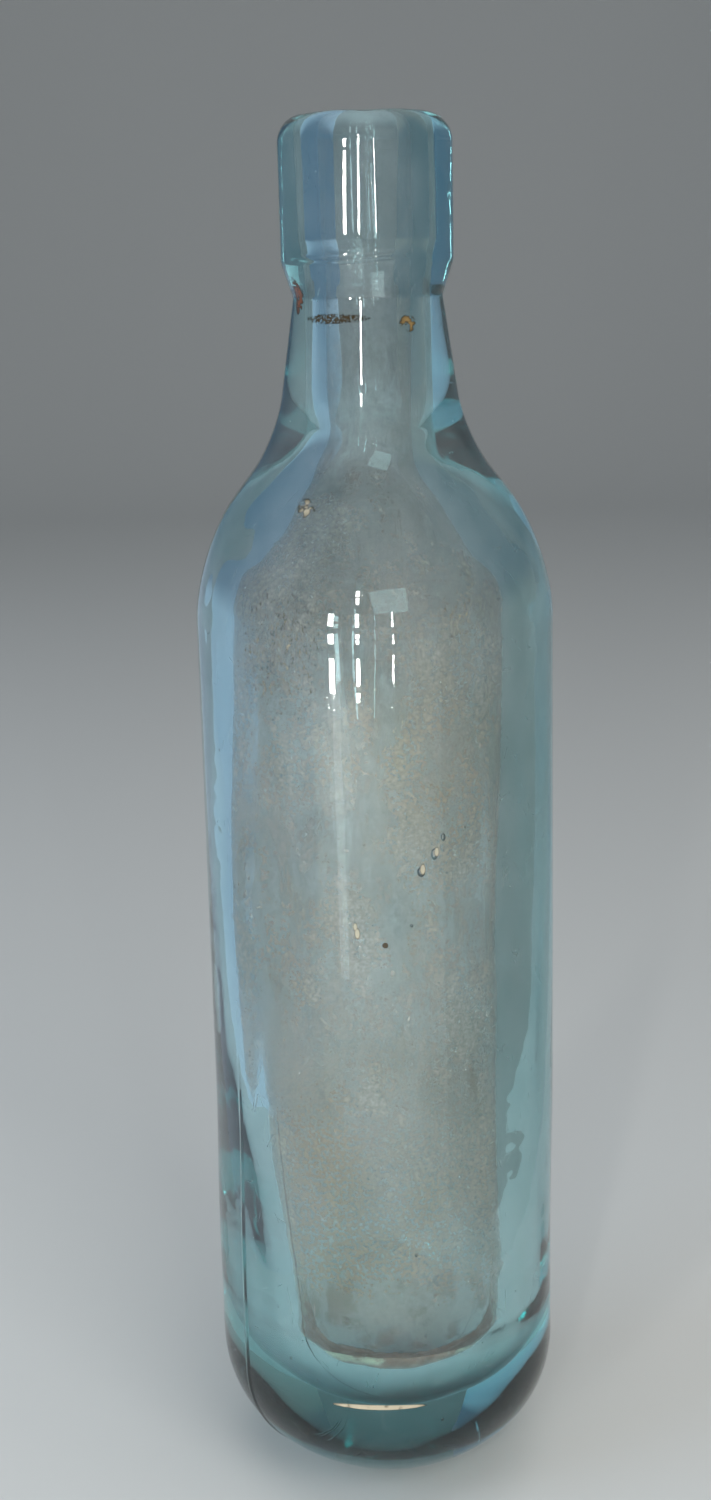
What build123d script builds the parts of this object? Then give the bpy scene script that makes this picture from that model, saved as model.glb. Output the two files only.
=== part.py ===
from build123d import *
from math import atan2, degrees, sqrt
import os

# A hand-blown soda bottle with a round bottom. It stands on its pole, with its axis along Z, in millimetres.
# The body and its neck are one gather of glass, blown in a two-piece mould. The lip is a second gather,
# wound round the cracked-off neck and shaped with a lipping tool, so it laps over the neck's end.

# Heights, from the mouth down. The barrel takes what the others leave.
total_height = 240.0
lip_height = 29.0
neck_length = 22.5
shoulder_height = 19.0

# Outside of the body and neck. The round base is a crown arc and a knuckle arc: the crown's radius is larger
# than the barrel's by the crown excess, and the knuckle's is smaller by the knuckle inset.
body_radius = 30.3
base_crown_excess = 3.7
base_knuckle_inset = 9.1
neck_radius = 12.3
neck_flare = 3.4
shoulder_fillet = 34.5
neck_fillet = 26.0

# Glass between the outside and the cavity
base_glass = 16.0
wall_at_base = 10.2
barrel_wall = 7.6
well_flare_top = 85.0
well_flare_fillet = 250.0
well_crown_excess = 0.9
well_knuckle_inset = 3.0
cavity_shoulder_drop = 5.0
cavity_shoulder_rise = 19.0
cavity_shoulder_fillet = 14.0
neck_bore_radius = 7.0
bore_root_fillet = 14.0

# The neck's cracked-off end, melted round, inside the lip
neck_end_rise = 9.0
neck_end_taper = 1.4
neck_end_fillet = 1.2

# Applied lip
lip_stand = 1.9
lip_bore_radius = 7.5
lip_underside_rise = 5.5
lip_underside_fillet = 3.0
lip_lap_step = 0.5
lip_lap_fillet = 1.0
lip_edge_fillet = 4.7
mouth_fillet = 1.6

# Mould seams, half a turn apart, at their full width on the barrel
seam_width = 0.6
seam_stand = 0.2
seam_foot = 2.0
seam_top = 85.0
seam_azimuth = 34.0

# Dried sediment in the bottom of the cavity
crust_thickness = 0.6
crust_depth = 14.0


def end_rise(radius, crown_excess, knuckle_inset):
    """The height of a round end of this radius, whose two arcs meet in a common tangent."""
    return radius + crown_excess - sqrt(crown_excess**2 + 2 * crown_excess * knuckle_inset)


# Places that follow from the sizes
lip_foot = total_height - lip_height
neck_root = lip_foot - neck_length
shoulder_foot = neck_root - shoulder_height
neck_end = lip_foot + neck_end_rise
neck_root_radius = neck_radius + neck_flare
neck_end_radius = neck_radius - neck_end_taper
lip_radius = neck_radius + lip_stand
lip_wall = lip_radius - lip_bore_radius
well_radius = body_radius - wall_at_base
well_top = base_glass + end_rise(well_radius, well_crown_excess, well_knuckle_inset)
cavity_radius = body_radius - barrel_wall
cavity_shoulder = shoulder_foot - cavity_shoulder_drop

# The lip's two round edges share its wall
edge_share = 0.7
mouth_share = 0.25


def turned(outline):
    """The solid that half an outline, in radius and height, sweeps round the bottle's axis."""
    return revolve(Plane.XZ * make_face(outline), Axis.Z)


def round_end(radius, crown_excess, knuckle_inset, foot):
    """Half of a round end, from its pole at the foot height out to its full radius."""
    crown = radius + crown_excess
    rise = end_rise(radius, crown_excess, knuckle_inset)
    lean = degrees(atan2(knuckle_inset, crown - rise))
    crown_arc = CenterArc((0, foot + crown), crown, 270, lean)
    knuckle_arc = CenterArc((knuckle_inset, foot + rise), radius - knuckle_inset, 270 + lean, 90 - lean)
    return crown_arc + knuckle_arc


def outside_curves(stand=0.0):
    """The outside, over the round base, up the barrel, over the shoulder and up the neck to its end."""
    barrel = body_radius + stand
    base = round_end(barrel, base_crown_excess, base_knuckle_inset, 0)
    side = FilletPolyline(
        (barrel, end_rise(barrel, base_crown_excess, base_knuckle_inset)),
        (barrel, shoulder_foot),
        (neck_root_radius + stand, neck_root),
        (neck_radius + stand, lip_foot),
        (neck_end_radius + stand, neck_end),
        radius=[shoulder_fillet, neck_fillet, 0],
    )
    closing = Polyline((neck_end_radius + stand, neck_end), (0, neck_end), (0, 0))
    return base + side + closing


def well_curve():
    """The round bottom of the cavity."""
    return round_end(well_radius, well_crown_excess, well_knuckle_inset, base_glass)


def blown_bar():
    """The body and neck before they are hollow, with the neck's end melted round at its edge."""
    bar = turned(outside_curves())
    end_edge = bar.edges().filter_by(GeomType.CIRCLE).sort_by(Axis.Z)[-1]
    return fillet(end_edge, neck_end_fillet)


def cavity():
    """The hollow, with its round well, which flares into the barrel, its sloping shoulder and its narrow bore."""
    side = FilletPolyline(
        (well_radius, well_top),
        (cavity_radius, well_flare_top),
        (cavity_radius, cavity_shoulder),
        (neck_bore_radius, cavity_shoulder + cavity_shoulder_rise),
        (neck_bore_radius, total_height),
        radius=[well_flare_fillet, cavity_shoulder_fillet, bore_root_fillet],
    )
    closing = Polyline((neck_bore_radius, total_height), (0, total_height), (0, base_glass))
    return turned(well_curve() + side + closing)


def mould_seams():
    """A low rib up both sides in the plane of the mould's joint, which narrows as it nears the pole."""
    outline = Plane.XZ * make_face(outside_curves(seam_stand))
    spread = degrees(seam_width / body_radius)
    rib = revolve(outline, Axis.Z, spread)
    rib += Rot(0, 0, 180) * rib
    reach = 3 * body_radius
    band = Pos(0, 0, (seam_foot + seam_top) / 2) * Box(reach, reach, seam_top - seam_foot)
    return Rot(0, 0, seam_azimuth - spread / 2) * (rib & band)


def bottle_body():
    """Body and neck, one piece of glass with the seams on it and the cavity through it."""
    return blown_bar() + mould_seams() - cavity()


def applied_lip():
    """A collar with a rounded top and a sloping underside, whose inside fits the neck's end face to face."""
    section = FilletPolyline(
        (lip_bore_radius, lip_foot),
        (neck_radius + lip_lap_step, lip_foot),
        (lip_radius, lip_foot + lip_underside_rise),
        (lip_radius, total_height),
        (lip_bore_radius, total_height),
        (lip_bore_radius, neck_end),
        radius=[
            lip_lap_fillet,
            lip_underside_fillet,
            min(lip_edge_fillet, edge_share * lip_wall),
            min(mouth_fillet, mouth_share * lip_wall),
        ],
    )
    closing = Line((lip_bore_radius, neck_end), (lip_bore_radius, lip_foot))
    return turned(section + closing) - blown_bar()


def sediment_crust():
    """A bowl of dried deposit that lines the bottom of the well and thins towards its rim."""
    closing = Polyline((well_radius, well_top), (0, well_top), (0, base_glass))
    well = turned(well_curve() + closing)
    reach = 3 * body_radius
    deposit = well & Pos(0, 0, base_glass + crust_depth / 2) * Box(reach, reach, crust_depth)
    return deposit - Pos(0, 0, crust_thickness) * well


os.makedirs("parts", exist_ok=True)
export_step(bottle_body(), "parts/bottle_body.step")
export_step(applied_lip(), "parts/applied_lip.step")
export_step(sediment_crust(), "parts/sediment_crust.step")
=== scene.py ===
import random
from math import atan2, cos, degrees, exp, pi, radians, sin, sqrt, tan

import bmesh
import bpy
from mathutils import Matrix, Vector, noise


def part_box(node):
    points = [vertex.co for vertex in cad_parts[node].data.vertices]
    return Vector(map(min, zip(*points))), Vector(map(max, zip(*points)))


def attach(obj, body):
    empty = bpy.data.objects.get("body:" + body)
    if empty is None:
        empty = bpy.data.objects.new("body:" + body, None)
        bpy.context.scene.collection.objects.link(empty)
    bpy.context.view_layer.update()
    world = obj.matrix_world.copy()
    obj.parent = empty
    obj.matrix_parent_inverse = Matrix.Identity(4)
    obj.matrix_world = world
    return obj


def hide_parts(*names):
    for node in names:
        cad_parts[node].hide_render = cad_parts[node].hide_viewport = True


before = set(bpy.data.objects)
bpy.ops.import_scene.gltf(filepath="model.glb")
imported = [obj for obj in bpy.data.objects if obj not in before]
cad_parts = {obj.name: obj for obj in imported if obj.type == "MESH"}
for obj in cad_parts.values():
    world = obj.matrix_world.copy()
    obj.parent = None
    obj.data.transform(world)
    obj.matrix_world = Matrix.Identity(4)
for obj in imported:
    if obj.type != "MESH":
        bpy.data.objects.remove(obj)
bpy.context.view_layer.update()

# The bottle's glass. A gather of aqua glass was blown in a two-piece mould with a thick round end. A second
# gather was wound round the cracked-off neck and tooled into the tall lip. The two fused while they were hot,
# so the glass is one closed skin here, with the outside, the lip and the cavity in it.
barrel_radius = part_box("bottle_body")[1].x
lip_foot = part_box("applied_lip")[0].z
lip_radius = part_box("applied_lip")[1].x
bottle_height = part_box("applied_lip")[1].z
base_crown_excess = 0.0037
base_knuckle_inset = 0.0091
shoulder_foot = 0.1695
neck_root = 0.1885
neck_root_radius = 0.0157
neck_radius = 0.0123
base_glass = 0.016
well_radius = 0.0201
well_crown_excess = 0.0009
well_knuckle_inset = 0.003
cavity_radius = 0.0227
well_flare_top = 0.085
cavity_shoulder = 0.1645
bore_root = 0.1835
neck_bore_radius = 0.007
lip_bore_radius = 0.0075
neck_end = 0.220
girth_steps = 150
skin_pitch = 0.0015
lap_pitch = 0.0004


def run_to(outline, end, radius, level):
    """A straight run of an outline, from its end to this radius and height."""
    tip = bmesh.ops.extrude_vert_indiv(outline, verts=[end])["verts"][0]
    tip.co = (radius, 0, level)
    return tip


def swing(outline, end, centre_radius, centre_level, turn, steps):
    """An arc of an outline about a centre. A positive turn climbs outwards from the axis."""
    spun = bmesh.ops.spin(
        outline, geom=[end], cent=(centre_radius, 0, centre_level), axis=(0, -1, 0), angle=turn, steps=steps
    )
    return [part for part in spun["geom_last"] if isinstance(part, bmesh.types.BMVert)][0]


def round_end(radius, crown_excess, knuckle_inset):
    """The rise of a round end of two arcs, and the lean of the point where they meet."""
    rise = radius + crown_excess - sqrt(crown_excess**2 + 2 * crown_excess * knuckle_inset)
    return rise, atan2(knuckle_inset, radius + crown_excess - rise)


def ease(outline, corner, radius, steps):
    """Rounds a corner of an outline."""
    before, after = [edge.other_vert(corner).co - corner.co for edge in corner.link_edges]
    reach = radius * tan((pi - before.angle(after)) / 2)
    bmesh.ops.bevel(
        outline, geom=[corner], offset=reach, offset_type="OFFSET", affect="VERTICES", segments=steps,
        profile=0.5, material=-1
    )


def divide(outline, lowest, highest, pitch):
    """Cuts the runs between two heights into steps no longer than the pitch."""
    for edge in outline.edges[:]:
        ends = [vert.co.z for vert in edge.verts]
        if lowest <= min(ends) and max(ends) <= highest and edge.calc_length() > pitch:
            bmesh.ops.subdivide_edges(outline, edges=[edge], cuts=int(edge.calc_length() / pitch))


outline = bmesh.new()
base_rise, base_lean = round_end(barrel_radius, base_crown_excess, base_knuckle_inset)
well_rise, well_lean = round_end(well_radius, well_crown_excess, well_knuckle_inset)
well_top = base_glass + well_rise
tip = outline.verts.new((0, 0, 0))
tip = swing(outline, tip, 0, barrel_radius + base_crown_excess, base_lean, 18)
tip = swing(outline, tip, base_knuckle_inset, base_rise, pi / 2 - base_lean, 16)
corners = []
# Each corner's radius and height, then the radius that eases it and its steps
for radius, level, easing, steps in [
    (barrel_radius, shoulder_foot, 0.0345, 16),
    (neck_root_radius, neck_root, 0.026, 14),
    (neck_radius, lip_foot, 0.0015, 5),
    (lip_radius, lip_foot + 0.0055, 0.003, 6),
    (lip_radius, bottle_height, 0.0047, 12),
    (lip_bore_radius, bottle_height, 0.0016, 8),
    (lip_bore_radius, neck_end, 0.002, 4),
    (neck_bore_radius, neck_end - 0.003, 0.002, 4),
    (neck_bore_radius, bore_root, 0.014, 10),
    (cavity_radius, cavity_shoulder, 0.014, 10),
    (cavity_radius, well_flare_top, 0.25, 4),
]:
    tip = run_to(outline, tip, radius, level)
    corners.append((tip, easing, steps))
tip = run_to(outline, tip, well_radius, well_top)
tip = swing(outline, tip, well_knuckle_inset, well_top, well_lean - pi / 2, 12)
tip = swing(outline, tip, 0, base_glass + well_radius + well_crown_excess, -well_lean, 12)
for corner, easing, steps in corners:
    ease(outline, corner, easing, steps)
divide(outline, 0, bottle_height, skin_pitch)
divide(outline, lip_foot - 0.001, lip_foot + 0.009, lap_pitch)
glass = outline
bmesh.ops.spin(
    glass, geom=glass.verts[:] + glass.edges[:], cent=(0, 0, 0), axis=(0, 0, 1), angle=2 * pi,
    steps=girth_steps, use_merge=True
)
bmesh.ops.remove_doubles(glass, verts=glass.verts[:], dist=1e-6)
bmesh.ops.recalc_face_normals(glass, faces=glass.faces[:])
glass.normal_update()

# Two mould seams, half a turn apart. The blown glass squeezed into the mould's joint, and the lines that it
# left run up both sides from the pole and fade out above. Narrow strips of faces are cut for them.
seam_azimuth = radians(34)
seam_width = 0.0007
seam_stand = 0.00022
seam_fade = 0.055
seam_top = 0.088
seam_cuts = (-1.2, -0.5, 0, 0.5, 1.2)
across_seam = Vector((-sin(seam_azimuth), cos(seam_azimuth), 0))


def outside(vert):
    """Is this point on the bottle's outside, rather than on its cavity?"""
    if vert.co.z < well_top and vert.normal.z > 0.2:
        return False
    return vert.normal.x * vert.co.x + vert.normal.y * vert.co.y > -1e-6 or vert.co.z < base_glass / 2


for offset in seam_cuts:
    low = [face for face in glass.faces if face.calc_center_median().z < seam_top]
    low = [face for face in low if outside(min(face.verts, key=lambda vert: vert.co.z))]
    parts = low + list({edge for face in low for edge in face.edges})
    parts += list({vert for face in low for vert in face.verts})
    cut_at = across_seam * offset * seam_width
    bmesh.ops.bisect_plane(glass, geom=parts, dist=1e-6, plane_co=cut_at, plane_no=across_seam)

# The unevenness of hand-made glass. The outside has the mould's slight waves and a lopsided base. The cavity,
# which nothing shaped, wanders off the axis and has deeper waves. The lip's top isn't level, and a crease
# shows where its gather lapped over the neck.
mould_waves = 0.00013
cavity_waves = 0.00042
cavity_drift = 0.0010
base_shift = 0.00045
lip_waves = 0.00018
lip_top_drop = 0.00045
lip_top_reach = 0.006
crease_height = lip_foot + 0.0061
crease_depth = 0.0005
crease_width = 0.00038
crease_wobble = 0.0004
crease_starts = (-62, -38)
crease_ends = (12, 34)


def fade(value, start, end):
    """Runs smoothly from 0 at the start to 1 at the end."""
    share = min(max((value - start) / (end - start), 0), 1)
    return share * share * (3 - 2 * share)


def waves(place, girth_step, height_step, seed):
    """Uneven waves with this spacing round the girth and up the height."""
    return noise.noise(Vector((place.x / girth_step, place.y / girth_step, place.z / height_step + seed)))


moved = {}
for vert in glass.verts:
    place = vert.co.copy()
    side = Vector((place.x, place.y, 0))
    on_lip = fade(place.z, lip_foot - 0.002, lip_foot + 0.006)
    if outside(vert):
        push = mould_waves * waves(place, 0.016, 0.05, 3) * fade(place.z, 0, 0.02) * (1 - on_lip)
        push += lip_waves * waves(place, 0.009, 0.02, 7) * on_lip
        seam_gap = across_seam.dot(place) / (0.5 * seam_width)
        seam_share = 1 - fade(place.z, seam_fade, seam_top)
        push += seam_stand * max(0, 1 - seam_gap**2) * seam_share * fade(side.length, 0.0005, 0.004)
        turn = degrees(atan2(place.x, -place.y))
        crease_share = fade(turn, *crease_starts) * (1 - fade(turn, *crease_ends))
        crease_level = crease_height + crease_wobble * sin(radians(4 * turn))
        push -= crease_depth * crease_share * exp(-((place.z - crease_level) / crease_width)**2)
        place += vert.normal * push
        place.x -= base_shift * fade(place.z, 0.004, 0.03) * (1 - fade(place.z, 0.045, 0.075))
    else:
        in_neck = fade(place.z, bore_root - 0.004, bore_root + 0.004)
        push = cavity_waves * waves(place, 0.011, 0.045, 11) * (1 - 0.65 * in_neck)
        push += 0.3 * cavity_waves * waves(place, 0.0045, 0.03, 17)
        place += vert.normal * push * fade(side.length, 0, 0.006)
        drift = 1 - 2 * fade(place.z, 0.03, 0.08)
        place.x += cavity_drift * drift * (1 - in_neck)
    if place.z > bottle_height - lip_top_reach:
        drop = lip_top_drop * (0.5 + waves(Vector((place.x, place.y, 0)), 0.008, 1, 21))
        place.z -= max(drop, 0) * fade(place.z, bottle_height - lip_top_reach, bottle_height)
    moved[vert] = place
for vert, place in moved.items():
    vert.co = place
glass.normal_update()

# Weathering has dulled the outside only, so the skin carries how far it is weathered from point to point
weathering = glass.verts.layers.float.new("weathering")
for vert in glass.verts:
    vert[weathering] = 1.0 if outside(vert) else 0.0

haze_top = bottle_height - 0.004
crust_top = base_glass + 0.0148


def cavity_wall(top):
    """A copy of the cavity's skin, from its pole up to this height."""
    wall = glass.copy()
    spare = [vert for vert in wall.verts if outside(vert) or vert.co.z > top]
    bmesh.ops.delete(wall, geom=spare, context="VERTS")
    wall.normal_update()
    return wall


haze_wall = cavity_wall(haze_top)
crust_wall = cavity_wall(crust_top)

# Seed bubbles. Gas that the melt didn't lose is caught in the thick of the glass, drawn out a little up the
# bottle where it was blown. Each is a small hollow, so its faces look in towards its middle.
random.seed(7)
seed_count = 46
seed_sizes = (0.00008, 0.00026)
bubbles = [(17, 0.1235, 0.0285, 0.0006), (12.5, 0.1208, 0.0287, 0.0007), (20, 0.1262, 0.0286, 0.0004)]
for _ in range(seed_count):
    level = random.uniform(0.005, 0.2)
    if level < base_glass - 0.003:
        reach = random.uniform(0, 0.45) * barrel_radius
    elif level < shoulder_foot - 0.008:
        reach = random.uniform(0.0247, 0.0288)
    else:
        reach = random.uniform(0.009, 0.011)
    bubbles.append((random.uniform(-180, 180), level, reach, random.uniform(*seed_sizes)))
for turn, level, reach, size in bubbles:
    place = Vector((reach * sin(radians(turn)), -reach * cos(radians(turn)), level))
    shape = Matrix.Translation(place) @ Matrix.Diagonal((size, size, size * random.uniform(1.0, 1.7), 1))
    blown = bmesh.ops.create_icosphere(glass, subdivisions=2, radius=1, matrix=shape)["verts"]
    bmesh.ops.reverse_faces(glass, faces=list({face for vert in blown for face in vert.link_faces}))

# A map round the bottle, in metres along the girth and up the height, for the marks that follow the surface
girth_map = glass.loops.layers.uv.new("girth")
for face in glass.faces:
    middle = face.calc_center_median()
    lead = atan2(middle.x, -middle.y)
    for loop in face.loops:
        turn = atan2(loop.vert.co.x, -loop.vert.co.y)
        turn += 2 * pi * round((lead - turn) / (2 * pi))
        loop[girth_map].uv = (turn * barrel_radius, loop.vert.co.z)


def piece_from(shape, name):
    """Makes a smooth-faced object of a finished shape."""
    for face in shape.faces:
        face.smooth = True
    mesh = bpy.data.meshes.new(name)
    shape.to_mesh(mesh)
    shape.free()
    piece = bpy.data.objects.new(name, mesh)
    bpy.context.scene.collection.objects.link(piece)
    return piece


bottle_glass = piece_from(glass, "bottle_glass")


# The glass's finish: clear aqua that darkens with depth, dulled by years in the ground. The outside has a
# faint cloudy patina, worn patches, fine scratches and pits. Rust and brown stains lie below the lip, with
# tan flecks on the shoulder, a dark speck on the barrel and a worn arc on the base.
aqua_tint = (0.10, 0.67, 0.67, 1)
aqua_density = 33
fresh_tint = (1, 1, 1, 1)
weathered_tint = (0.78, 0.87, 0.92, 1)
scuff_colour = (0.80, 0.80, 0.72, 1)
rust_colour = (0.17, 0.06, 0.028, 1)
grime_colour = (0.05, 0.035, 0.018, 1)
ochre_colour = (0.25, 0.16, 0.06, 1)
fleck_and_glint_colour = (0.46, 0.41, 0.31, 1)
wear_colour = (0.55, 0.47, 0.34, 1)
stain_cover = 0.85
scuff_cover = 0.14
scuff_dulling = 0.28
worn_dulling = 0.04
scratch_sink = -0.10
ripple_height = 0.00004


def blank_material(name):
    """A material with its own nodes, and its tree and main shader."""
    finish = bpy.data.materials.new(name)
    finish.use_nodes = True
    return finish, finish.node_tree, finish.node_tree.nodes["Principled BSDF"]


def add(tree, kind, inputs=None, **settings):
    """Adds a node, with its settings and what feeds its inputs."""
    node = tree.nodes.new("ShaderNode" + kind)
    for name, value in settings.items():
        setattr(node, name, value)
    for name, value in (inputs or {}).items():
        socket = node.inputs[name]
        if isinstance(value, bpy.types.NodeSocket):
            tree.links.new(value, socket)
        else:
            socket.default_value = value
    return node


def on_piece(tree):
    """Where a point lies on its piece, and how high."""
    place = add(tree, "TexCoord").outputs["Object"]
    return place, add(tree, "SeparateXYZ", {0: place}).outputs["Z"]


def sums(tree, operation, first, second=0.0, third=0.0):
    """One step of arithmetic."""
    return add(tree, "Math", {0: first, 1: second, 2: third}, operation=operation).outputs[0]


def most(tree, share, *others):
    """The greatest of several shares."""
    for other in others:
        share = sums(tree, "MAXIMUM", share, other)
    return share


def ramp(tree, value, low, high, to_low=0.0, to_high=1.0):
    """Spreads the part of a value between low and high over a new range."""
    spread = {"Value": value, "From Min": low, "From Max": high, "To Min": to_low, "To Max": to_high}
    return add(tree, "MapRange", spread).outputs[0]


def laid_out(tree, place, stretch, turn, start):
    """Where a pattern is read, once it is stretched, turned and moved."""
    laying = {"Vector": place, "Location": start, "Rotation": (0, 0, turn), "Scale": stretch}
    return add(tree, "Mapping", laying).outputs[0]


def grain(tree, place, scale, detail=3.0, roughness=0.5, stretch=(1, 1, 1), turn=0.0, start=(0, 0, 0)):
    """Cloudy noise, stretched and turned."""
    laid = laid_out(tree, place, stretch, turn, start)
    inputs = {"Vector": laid, "Scale": scale, "Detail": detail, "Roughness": roughness}
    return add(tree, "TexNoise", inputs).outputs[0]


def lines(tree, place, scale, width, stretch=(1, 1, 1), turn=0.0, start=(0, 0, 0)):
    """Thin straight scratches that cross."""
    laid = laid_out(tree, place, stretch, turn, start)
    cells = add(tree, "TexVoronoi", {"Vector": laid, "Scale": scale}, feature="DISTANCE_TO_EDGE")
    return ramp(tree, cells.outputs["Distance"], 0, width, 1, 0)


def specks(tree, place, scale, size, share):
    """Small round specks, in this share of the cells."""
    cells = add(tree, "TexVoronoi", {"Vector": place, "Scale": scale})
    near = ramp(tree, cells.outputs["Distance"], size * 0.5, size, 1, 0)
    chosen = add(tree, "SeparateColor", {"Color": cells.outputs["Color"]}).outputs[0]
    return sums(tree, "MULTIPLY", near, sums(tree, "LESS_THAN", chosen, share))


def spot(tree, place, centre, size, edge=0.5):
    """A soft-edged patch with its centre and size in metres."""
    offset = add(tree, "VectorMath", {0: place, 1: centre}, operation="SUBTRACT").outputs[0]
    scaled = add(tree, "VectorMath", {0: offset, 1: size}, operation="DIVIDE").outputs[0]
    gap = add(tree, "VectorMath", {0: scaled}, operation="LENGTH").outputs["Value"]
    return ramp(tree, gap, edge, 1, 1, 0)


def broken_up(tree, share, grains, low, high):
    """A share that holds only where the grain is above low, and in full above high."""
    return sums(tree, "MULTIPLY", share, ramp(tree, grains, low, high))


def blend_colour(tree, share, first, second):
    """Mixes two colours by a share."""
    mixed = add(tree, "Mix", {0: share, 6: first, 7: second}, data_type="RGBA")
    return mixed.outputs[2]


def at(turn, level, reach):
    """A point at this angle from the front, height and distance from the axis."""
    return reach * sin(radians(turn)), -reach * cos(radians(turn)), level


aqua_glass, tree, shader = blank_material("aqua_glass")
place, height = on_piece(tree)
girth = add(tree, "UVMap", uv_map="girth").outputs[0]
weathered = add(tree, "Attribute", attribute_name="weathering").outputs["Fac"]
cloudy = ramp(tree, grain(tree, place, 70, 5, 0.65, (1, 1, 0.6)), 0.36, 0.64)
on_shoulder = sums(tree, "MULTIPLY", ramp(tree, height, 0.140, 0.172), ramp(tree, height, 0.212, 0.190))
patina = sums(tree, "MULTIPLY_ADD", cloudy, 0.06, sums(tree, "MULTIPLY_ADD", on_shoulder, 0.03, 0.02))
patina = sums(tree, "MULTIPLY", patina, weathered)
patina = sums(tree, "MULTIPLY", patina, ramp(tree, height, 0.02, 0.045))
worn = ramp(tree, grain(tree, place, 45, 4, 0.6, (1, 1, 0.45)), 0.46, 0.66)
upright = lines(tree, girth, 190, 0.010, (1, 0.42, 1), radians(6))
slanting = lines(tree, girth, 130, 0.008, (1, 0.6, 1), radians(-31), (3, 5, 0))
scratched = broken_up(tree, most(tree, upright, slanting), grain(tree, place, 260, 2), 0.58, 0.66)
pitted = specks(tree, place, 380, 0.07, 0.10)
scuffed = most(tree, scratched, pitted)

rust = spot(tree, place, at(-64, 0.2115, 0.0125), (0.0016, 0.0016, 0.0034))
rust = broken_up(tree, rust, grain(tree, place, 900, 3), 0.35, 0.5)
grime_line = spot(tree, place, at(-27, 0.2078, 0.0122), (0.0075, 0.004, 0.0009), 0.3)
grime_line = broken_up(tree, grime_line, grain(tree, place, 2600, 6, 0.75), 0.44, 0.54)
ochre = spot(tree, place, at(29, 0.2068, 0.0125), (0.0016, 0.002, 0.0015))
ochre = broken_up(tree, ochre, grain(tree, place, 1000, 3, start=(2, 2, 2)), 0.4, 0.55)
wear = spot(tree, place, at(-5, 0.0252, 0.0302), (0.0088, 0.004, 0.0005), 0.8)
wear = broken_up(tree, wear, grain(tree, place, 700, 3, start=(5, 5, 5)), 0.3, 0.45)
left_flecks = spot(tree, place, at(-31, 0.156, 0.0303), (0.009, 0.012, 0.013), 0.2)
right_flecks = spot(tree, place, at(26, 0.1615, 0.0303), (0.005, 0.006, 0.004), 0.2)
flecks_and_glints = most(tree, left_flecks, right_flecks)
flecks_and_glints = broken_up(tree, flecks_and_glints, grain(tree, place, 1500, 8, 0.8, (1, 1, 0.6)), 0.56, 0.62)
# Four small pale spots. The two beside the seed bubbles on the right are painted highlights, not stains.
for turn, level, size in (
    (17, 0.1242, 0.0007),
    (12.5, 0.1215, 0.0008),
    (-8, 0.1110, 0.0008),
    (-8.6, 0.1122, 0.0006),
):
    glint_and_mark = spot(tree, place, at(turn, level, 0.0303), (0.6 * size, 2 * size, 1.3 * size), 0.6)
    flecks_and_glints = most(tree, flecks_and_glints, glint_and_mark)
fold = spot(tree, place, at(-27, 0.179, 0.0236), (0.0017, 0.003, 0.0019), 0.2)
fold = broken_up(tree, fold, grain(tree, place, 900, 4), 0.46, 0.56)
flecks_and_glints = most(tree, flecks_and_glints, fold)
speck = spot(tree, place, at(0.5, 0.109, 0.0303), (0.0005, 0.0008, 0.0005), 0.8)
stained = ramp(tree, most(tree, rust, wear, grime_line, ochre, speck, flecks_and_glints), 0.12, 0.4)

stain_colour = blend_colour(tree, rust, grime_colour, rust_colour)
stain_colour = blend_colour(tree, ochre, stain_colour, ochre_colour)
stain_colour = blend_colour(tree, wear, stain_colour, wear_colour)
stain_colour = blend_colour(tree, flecks_and_glints, stain_colour, fleck_and_glint_colour)
clear_colour = blend_colour(tree, weathered, fresh_tint, weathered_tint)
scuffed_colour = blend_colour(tree, sums(tree, "MULTIPLY", scuffed, 0.55), clear_colour, scuff_colour)
covered = ramp(tree, stained, 0, 0.12)
glass_colour = blend_colour(tree, covered, scuffed_colour, stain_colour)
tree.links.new(glass_colour, shader.inputs["Base Color"])
opaque = most(
    tree, sums(tree, "MULTIPLY", stained, stain_cover), sums(tree, "MULTIPLY", scuffed, scuff_cover), patina
)
tree.links.new(sums(tree, "SUBTRACT", 1.0, opaque), shader.inputs["Transmission Weight"])
dull = most(
    tree, sums(tree, "MULTIPLY", worn, worn_dulling), sums(tree, "MULTIPLY", scuffed, scuff_dulling)
)
tree.links.new(dull, shader.inputs["Roughness"])
shader.inputs["IOR"].default_value = 1.52
ripples = grain(tree, place, 1, 1, 0.4, (140, 140, 200))
skin = sums(tree, "MULTIPLY_ADD", scuffed, scratch_sink, ripples)
relief = add(tree, "Bump", {"Strength": 1.0, "Distance": ripple_height, "Height": skin})
tree.links.new(relief.outputs[0], shader.inputs["Normal"])
tint = add(tree, "VolumeAbsorption", {"Color": aqua_tint, "Density": aqua_density})
tree.links.new(tint.outputs[0], tree.nodes["Material Output"].inputs["Volume"])
bottle_glass.data.materials.append(aqua_glass)
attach(bottle_glass, "root")
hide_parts("bottle_body", "applied_lip")

# The haze on the cavity's wall. Old drink and ground water left a mottled film of scale, streaked up the
# barrel, denser low down and thin over the sediment. It is a skin of its own, a hair's breadth off the glass.
haze_gap = 0.00006
haze_thickness = 0.00003
scale_pink = (0.95, 0.70, 0.59, 1)
scale_tan = (0.95, 0.62, 0.43, 1)
scale_shade = (0.20, 0.19, 0.17, 1)
smudge_colour = (0.22, 0.13, 0.09, 1)
edge_highlight_cream = (1.0, 0.86, 0.64, 1)
for vert in haze_wall.verts:
    vert.co += vert.normal * haze_gap
bmesh.ops.solidify(haze_wall, geom=haze_wall.faces[:], thickness=haze_thickness)
bmesh.ops.recalc_face_normals(haze_wall, faces=haze_wall.faces[:])
inner_haze = piece_from(haze_wall, "inner_haze")

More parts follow.
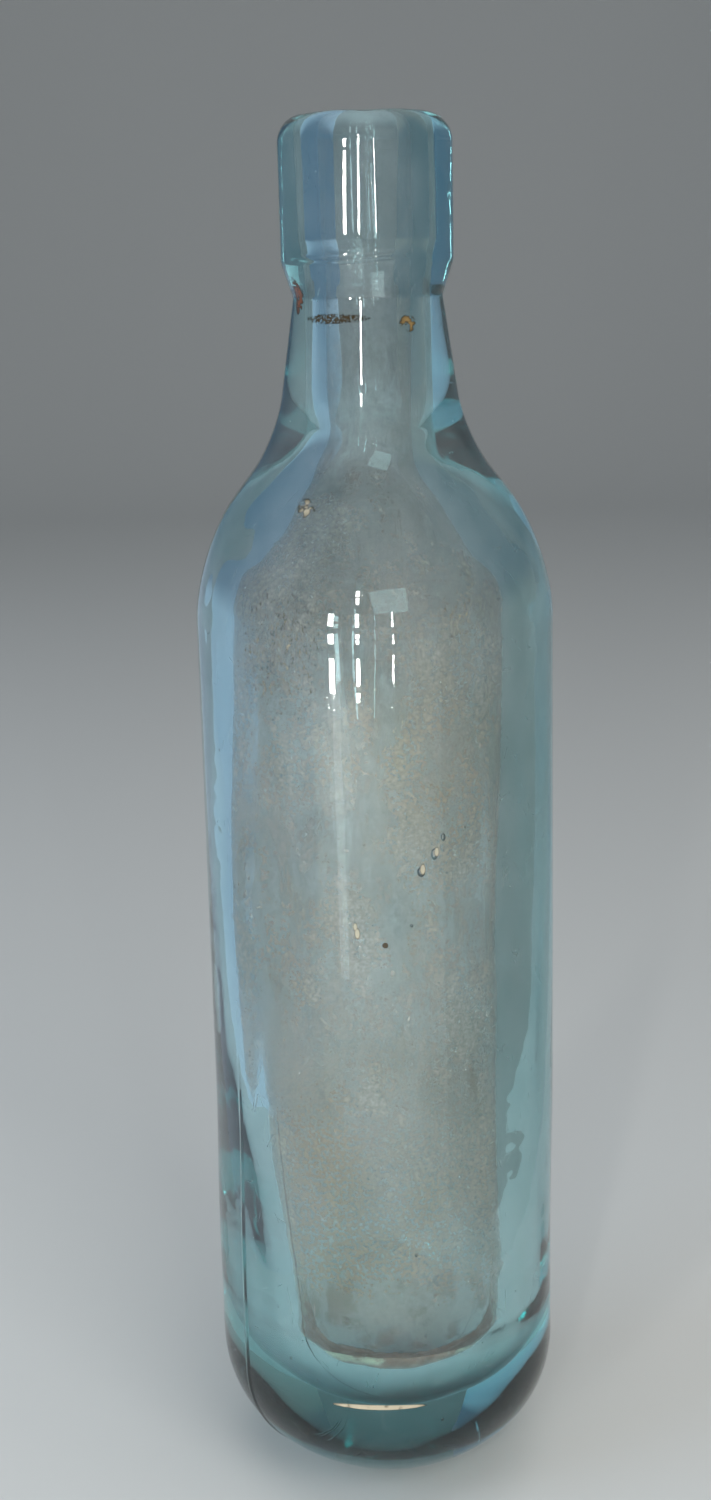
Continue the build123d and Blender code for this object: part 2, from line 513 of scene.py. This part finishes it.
scale_film, tree, shader = blank_material("scale_film")
place, height = on_piece(tree)
blotches = ramp(tree, grain(tree, place, 90, 8, 0.72, (1, 1, 0.6)), 0.40, 0.60)
streaks = ramp(tree, grain(tree, place, 150, 3, 0.5, (1, 1, 0.05), start=(1, 0, 0)), 0.35, 0.65)
speckle = grain(tree, place, 1500, 4, 0.7)
low_down = ramp(tree, height, 0.11, 0.07)
dense = sums(tree, "MULTIPLY_ADD", blotches, 0.33, 0.05)
dense = sums(tree, "MULTIPLY_ADD", streaks, 0.08, dense)
dense = most(tree, dense, sums(tree, "MULTIPLY", low_down, 0.34))
on_shoulder = sums(tree, "MULTIPLY", ramp(tree, height, 0.140, 0.162), ramp(tree, height, 0.200, 0.182))
dense = sums(tree, "MULTIPLY_ADD", on_shoulder, sums(tree, "MULTIPLY_ADD", blotches, 0.12, 0.04), dense)
dense = sums(tree, "MULTIPLY", dense, ramp(tree, speckle, 0.3, 0.7, 0.60, 1.40))
dense = sums(tree, "MULTIPLY", dense, ramp(tree, height, lip_foot - 0.035, lip_foot + 0.004, 1, 0.15))
uneven_height = sums(tree, "MULTIPLY_ADD", grain(tree, place, 110, 5, 0.7), 0.022, height)
off_crust = ramp(tree, uneven_height, crust_top + 0.012, crust_top + 0.026, 0.08, 1)
dense = sums(tree, "MULTIPLY", dense, off_crust)
# Cream strips at the cavity's left and right sides, where the view grazes the wall, are painted highlights on
# the film.
right_edge_highlight = spot(tree, place, at(80, 0.036, 0.0210), (0.004, 0.008, 0.010), 0.6)
left_edge_highlight = spot(tree, place, at(-82, 0.034, 0.0200), (0.004, 0.007, 0.008), 0.6)
painted_edge_highlight = most(tree, right_edge_highlight, left_edge_highlight)
painted_edge_highlight = broken_up(tree, painted_edge_highlight, grain(tree, place, 500, 4, 0.6), 0.40, 0.52)
smudge = spot(tree, place, at(-21, 0.0375, 0.0205), (0.0042, 0.006, 0.0026), 0.1)
smudge = broken_up(tree, smudge, grain(tree, place, 700, 5, 0.7), 0.42, 0.56)
dense = most(tree, dense, sums(tree, "MULTIPLY", painted_edge_highlight, 0.9), sums(tree, "MULTIPLY", smudge, 0.7))
tree.links.new(dense, shader.inputs["Alpha"])
tan_share = ramp(tree, grain(tree, place, 38, 3, 0.5, (1, 1, 0.5), start=(6, 2, 1)), 0.45, 0.62)
film_colour = blend_colour(tree, tan_share, scale_pink, scale_tan)
darker = ramp(tree, height, 0.140, 0.175, 0, 0.7)
film_colour = blend_colour(tree, darker, film_colour, scale_shade)
film_colour = blend_colour(tree, smudge, film_colour, smudge_colour)
film_colour = blend_colour(tree, painted_edge_highlight, film_colour, edge_highlight_cream)
tree.links.new(film_colour, shader.inputs["Base Color"])
shader.inputs["Roughness"].default_value = 0.9
shader.inputs["Specular IOR Level"].default_value = 0.2
inner_haze.data.materials.append(scale_film)
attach(inner_haze, "root")

# The sediment. A red-brown deposit dried in the bottom of the cavity as a lumpy bowl that thins towards its
# rim. Cream along the rim is partly pale grains and partly a painted highlight. It is nearly whole in front,
# thin behind, and sits just off the glass.
crust_gap = 0.00012
crust_depth = 0.00055
rim_depth = 0.003
rim_share = 0.15
crust_brown = (0.46, 0.19, 0.12, 1)
crust_buff = (0.72, 0.40, 0.28, 1)
rim_cream_and_highlight = (1.0, 0.88, 0.64, 1)
for vert in crust_wall.verts:
    vert.co += vert.normal * crust_gap
upper = bmesh.ops.duplicate(crust_wall, geom=crust_wall.faces[:])
upper_verts = [part for part in upper["geom"] if isinstance(part, bmesh.types.BMVert)]
lower_faces = [face for face in crust_wall.faces if face.verts[0] not in upper_verts]
bmesh.ops.reverse_faces(crust_wall, faces=lower_faces)
for vert in upper_verts:
    below_rim = 1 - fade(vert.co.z, crust_top - rim_depth, crust_top)
    lump = 1 + 0.9 * noise.noise(vert.co * 600) + 0.5 * noise.noise(vert.co * 1700)
    vert.co += vert.normal * crust_depth * max(lump, 0.2) * (rim_share + (1 - rim_share) * below_rim)
open_edges = [edge for edge in crust_wall.edges if len(edge.link_faces) == 1]
bmesh.ops.bridge_loops(crust_wall, edges=open_edges)
bmesh.ops.recalc_face_normals(crust_wall, faces=crust_wall.faces[:])
dried_sediment = piece_from(crust_wall, "dried_sediment")

crust_finish, tree, shader = blank_material("dried_sediment")
place, height = on_piece(tree)
grains = grain(tree, place, 1400, 5, 0.7)
clumps = ramp(tree, grain(tree, place, 420, 4, 0.6), 0.4, 0.62)
# Cream near the top of the rim: pale grains, and a painted highlight along the rim
rim = ramp(tree, height, crust_top - 0.0022, crust_top - 0.0014)
cream_and_highlight_share = broken_up(tree, rim, grain(tree, place, 240, 4, 0.65), 0.44, 0.54)
rearward = add(tree, "SeparateXYZ", {0: place}).outputs["Y"]
ragged = sums(tree, "MULTIPLY_ADD", grain(tree, place, 300, 4, 0.6), 0.004, rearward)
front_side = ramp(tree, ragged, 0.0014, 0.0028, 1, 0)
patchy = ramp(tree, grain(tree, place, 260, 5, 0.7), 0.36, 0.6, 0.80, 1.0)
thin = ramp(tree, grain(tree, place, 180, 4, 0.6), 0.5, 0.62, 0.04, 0.4)
solid_share = add(tree, "Mix", {0: front_side, 2: thin, 3: patchy}).outputs[0]
tree.links.new(solid_share, shader.inputs["Alpha"])
crust_colour = blend_colour(tree, clumps, crust_brown, crust_buff)
crust_colour = blend_colour(tree, cream_and_highlight_share, crust_colour, rim_cream_and_highlight)
tree.links.new(crust_colour, shader.inputs["Base Color"])
shader.inputs["Roughness"].default_value = 0.9
relief = add(tree, "Bump", {"Strength": 0.8, "Distance": 0.0002, "Height": grains})
tree.links.new(relief.outputs[0], shader.inputs["Normal"])
dried_sediment.data.materials.append(crust_finish)
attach(dried_sediment, "root")
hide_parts("sediment_crust")

# The studio. A pale floor curves up into a backdrop, a glowing card stands on each side of the bottle, and
# soft lights hang above, in front to the right and to the left. A barred window stands in front.
floor_reach = 2.2
floor_bend = 0.8
floor_shape = bmesh.new()
bmesh.ops.create_grid(floor_shape, x_segments=1, y_segments=1, size=floor_reach)
back = [edge for edge in floor_shape.edges if min(vert.co.y for vert in edge.verts) > 0]
raised = bmesh.ops.extrude_edge_only(floor_shape, edges=back)["geom"]
raised_verts = [part for part in raised if isinstance(part, bmesh.types.BMVert)]
bmesh.ops.translate(floor_shape, verts=raised_verts, vec=(0, 0, floor_reach))
bend = [edge for edge in floor_shape.edges if len(edge.link_faces) == 2]
bmesh.ops.bevel(
    floor_shape, geom=bend, offset=floor_bend, offset_type="OFFSET", affect="EDGES", segments=16,
    profile=0.5, material=-1
)
bmesh.ops.recalc_face_normals(floor_shape, faces=floor_shape.faces[:])
studio_floor = piece_from(floor_shape, "studio_floor")
floor_finish, tree, shader = blank_material("pale_paper")
shader.inputs["Base Color"].default_value = (0.62, 0.63, 0.62, 1)
shader.inputs["Roughness"].default_value = 0.95
studio_floor.data.materials.append(floor_finish)


def soft_light(name, place, aim, width, height, colour, power):
    """A large area light that faces a point."""
    lamp = bpy.data.lights.new(name, "AREA")
    lamp.shape = "RECTANGLE"
    lamp.size = width
    lamp.size_y = height
    lamp.color = colour
    lamp.energy = power
    holder = bpy.data.objects.new(name, lamp)
    holder.location = place
    holder.visible_camera = False
    holder.rotation_euler = (Vector(aim) - Vector(place)).to_track_quat("-Z", "Y").to_euler()
    bpy.context.scene.collection.objects.link(holder)
    return holder


# A pale blue card stands along the left and a grey one along the right, and the thick walls turn their light
# to the front. Each is paler low down, and neither lights the floor nor shades it.
card_start = (0.09, -0.12)
card_end = (0.34, 1.00)
card_height = 0.5
for name, side, foot_glow, low_glow, high_glow in (
    ("left_card", -1, (0.54, 0.62, 0.72, 1), (0.38, 0.46, 0.58, 1), (0.09, 0.16, 0.24, 1)),
    ("right_card", 1, (0.30, 0.30, 0.29, 1), (0.24, 0.24, 0.23, 1), (0.12, 0.16, 0.18, 1)),
):
    card_shape = bmesh.new()
    foot = [card_shape.verts.new((side * reach, away, 0)) for reach, away in (card_start, card_end)]
    top = [card_shape.verts.new((vert.co.x, vert.co.y, card_height)) for vert in foot]
    card_shape.faces.new((foot[0], foot[1], top[1], top[0]))
    card = piece_from(card_shape, name)
    card_finish, tree, shader = blank_material(name)
    card_level = on_piece(tree)[1]
    glow = blend_colour(tree, ramp(tree, card_level, 0, 0.08), foot_glow, low_glow)
    glow = blend_colour(tree, ramp(tree, card_level, 0.13, 0.20), glow, high_glow)
    tree.links.new(glow, shader.inputs["Emission Color"])
    shader.inputs["Emission Strength"].default_value = 1.0
    shader.inputs["Base Color"].default_value = (0.02, 0.02, 0.02, 1)
    shader.inputs["Roughness"].default_value = 0.9
    shader.inputs["Specular IOR Level"].default_value = 0.0
    card.data.materials.append(card_finish)
    card.visible_camera = False
    card.visible_diffuse = False
    card.visible_shadow = False
overhead = soft_light("overhead_light", (0.1, -0.2, 1.2), (0, 0, 0.13), 1.0, 1.0, (1.0, 0.98, 0.95), 5.0)
overhead.visible_transmission = False
overhead.visible_glossy = False
fill = soft_light("fill_light", (0.35, -0.80, 0.65), (0, 0, 0.10), 0.5, 0.5, (1.0, 0.98, 0.94), 3.8)
fill.visible_glossy = False
sky = soft_light("sky_light", (-0.8, -0.35, 0.5), (0, 0, 0.14), 0.6, 0.6, (0.50, 0.74, 1.0), 2.5)
sky.visible_transmission = False
sky.visible_glossy = False

# A tall window stands in front, with three narrow casements of small panes between bars. Every third pane is
# shaded. A short glow over its sill, nearer the bottle, lights the base.
daylight = (1.0, 0.99, 0.96)
window_distance = 0.72
window_foot = 0.005
pane_height = 0.040
pane_pitch = 0.048
pane_glow = 9.0
soft_light("sill_glow", at(-24, 0.055, 0.30), (0, 0, 0.055), 0.026, 0.11, daylight, 0.012)
for casement, turn, width, rows in (
    ("near", -27, 0.042, 8),
    ("middle", -11, 0.026, 10),
    ("far", 9.5, 0.010, 8),
):
    for row in range(rows):
        if row % 3 == 1:
            continue
        level = window_foot + row * pane_pitch
        pane = f"{casement}_pane_{row}"
        place = at(turn, level, window_distance)
        soft_light(pane, place, (0, 0, level), width, pane_height, daylight, pane_glow * width)

# The air round it all is pale blue, and a little brighter overhead
world = bpy.data.worlds.new("studio_air")
world.use_nodes = True
tree = world.node_tree
skyward = add(tree, "SeparateXYZ", {0: add(tree, "TexCoord").outputs["Generated"]}).outputs["Z"]
tree.links.new(ramp(tree, skyward, 0.25, 0.7, 0.18, 0.24), tree.nodes["Background"].inputs["Strength"])
tree.nodes["Background"].inputs["Color"].default_value = (0.86, 0.93, 1.0, 1)
bpy.context.scene.world = world

# The camera stands in front, a little above the shoulder, and is rolled a touch to the right
camera_distance = 0.340
camera_height = 0.218
camera_side = -0.0038
camera_dip = radians(13.84)
camera_roll = radians(1.37)
focal_length = 48.46
film_width = 36
lens = bpy.data.cameras.new("camera")
lens.lens = focal_length
lens.sensor_width = film_width
lens.clip_start = 0.01
camera = bpy.data.objects.new("camera", lens)
camera.matrix_world = (
    Matrix.Translation((camera_side, -camera_distance, camera_height))
    @ Matrix.Rotation(pi / 2 - camera_dip, 4, "X")
    @ Matrix.Rotation(-camera_roll, 4, "Z")
)
bpy.context.scene.collection.objects.link(camera)
bpy.context.scene.camera = camera

# Enough bounces for light to cross both walls, the film and the crust
settings = bpy.context.scene
settings.view_settings.view_transform = "Standard"
settings.cycles.max_bounces = 18
settings.cycles.glossy_bounces = 12
settings.cycles.transmission_bounces = 18
settings.cycles.transparent_max_bounces = 24
